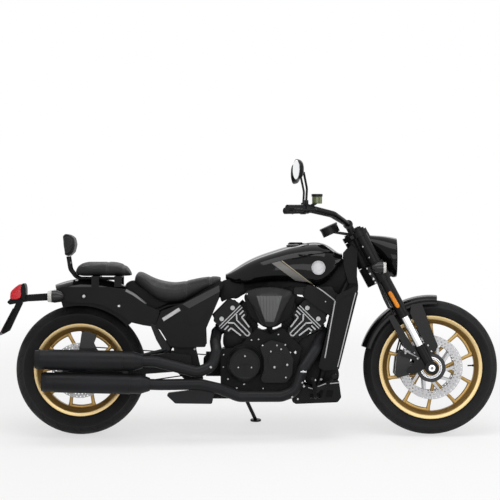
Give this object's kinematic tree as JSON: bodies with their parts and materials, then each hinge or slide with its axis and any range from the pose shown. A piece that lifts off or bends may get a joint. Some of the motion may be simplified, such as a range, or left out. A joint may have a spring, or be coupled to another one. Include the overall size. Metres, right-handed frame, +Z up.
{
  "type": "cruiser motorcycle",
  "caption": "Low cruiser motorcycle with a V engine, cast wheels, side mufflers, teardrop tank and a seat with a backrest, leaning on its side stand.",
  "frame": {"origin": "on the ground under the middle of the parked bike", "axes": "+X ahead, +Y to the rider's left, +Z up; the bike leans to +Y on its side stand"},
  "size_m": [2.456, 0.8998, 1.3887],
  "materials": {
    "black_paint": "gloss",
    "satin_black": "satin",
    "engine_black": "satin",
    "exhaust_black": "satin",
    "wheel_gold": "satin",
    "tyre_rubber": "matte",
    "belt_rubber": "matte",
    "bright_steel": "polished",
    "seat_leather": "matte",
    "red_lens": "gloss",
    "clear_lens": "gloss"
  },
  "bodies": {
    "chassis": {"air_cleaner": "engine_black", "backrest": "seat_leather", "belly_pan": "satin_black", "crankcase": "engine_black", "drive_belt": "belt_rubber", "engine_covers": "engine_black", "exhaust_pipes": "exhaust_black", "fender_struts": "satin_black", "foot_controls": "satin_black", "frame": "satin_black", "front_cylinder": "engine_black", "fuel_tank": "black_paint", "mufflers": "exhaust_black", "pillion_seat": "seat_leather", "plate_bracket": "satin_black", "radiator": "satin_black", "radiator_shroud": "black_paint", "rear_caliper": "satin_black", "rear_cylinder": "engine_black", "rear_fender": "black_paint", "rear_indicators": "clear_lens", "rider_seat": "seat_leather", "shock": "satin_black", "side_covers": "black_paint", "swingarm": "satin_black", "tail_light": "red_lens"},
    "steering": {"yokes": "satin_black", "fork_tubes": "satin_black", "fork_sliders": "bright_steel", "fork_feet": "satin_black", "front_axle": "bright_steel", "front_fender": "black_paint", "front_calipers": "satin_black", "handlebar": "satin_black", "bar_controls": "satin_black", "mirrors": "satin_black", "instrument": "satin_black", "headlight": "black_paint", "headlight_lens": "clear_lens", "front_indicators": "clear_lens"},
    "front_wheel": {"front_rim": "wheel_gold", "front_tyre": "tyre_rubber", "front_discs": "bright_steel"},
    "rear_wheel": {"rear_rim": "wheel_gold", "rear_tyre": "tyre_rubber", "rear_disc": "bright_steel", "rear_pulley": "bright_steel"},
    "side_stand": {"side_stand": "satin_black"},
    "filler_lid": {"filler_lid": "bright_steel"}
  },
  "joints": [
    {"name": "steering", "type": "hinge", "parent": "chassis", "child": "steering", "pos_m": [0.54298, -0.04456, 0.88172], "axis": [-0.4695, 0.1381, 0.8721], "range_deg": [-35, 35]},
    {"name": "front_wheel_spin", "type": "hinge", "parent": "steering", "child": "front_wheel", "pos_m": [0.89697, -0.13205, 0.32934], "axis": [0, 0.9877, -0.1564], "continuous": true},
    {"name": "rear_wheel_spin", "type": "hinge", "parent": "chassis", "child": "rear_wheel", "pos_m": [-0.82703, -0.13385, 0.31798], "axis": [0, 0.9877, -0.1564], "continuous": true},
    {"name": "stand_fold", "type": "hinge", "parent": "chassis", "child": "side_stand", "pos_m": [-0.02403, -0.01432, 0.1649], "axis": [0.174, 0.7475, 0.641], "range_deg": [0, 100]},
    {"name": "filler_lid_hinge", "type": "hinge", "parent": "chassis", "child": "filler_lid", "pos_m": [0.27598, -0.03678, 0.93084], "axis": [0, 0.9877, -0.1564], "range_deg": [0, 80]}
  ]
}
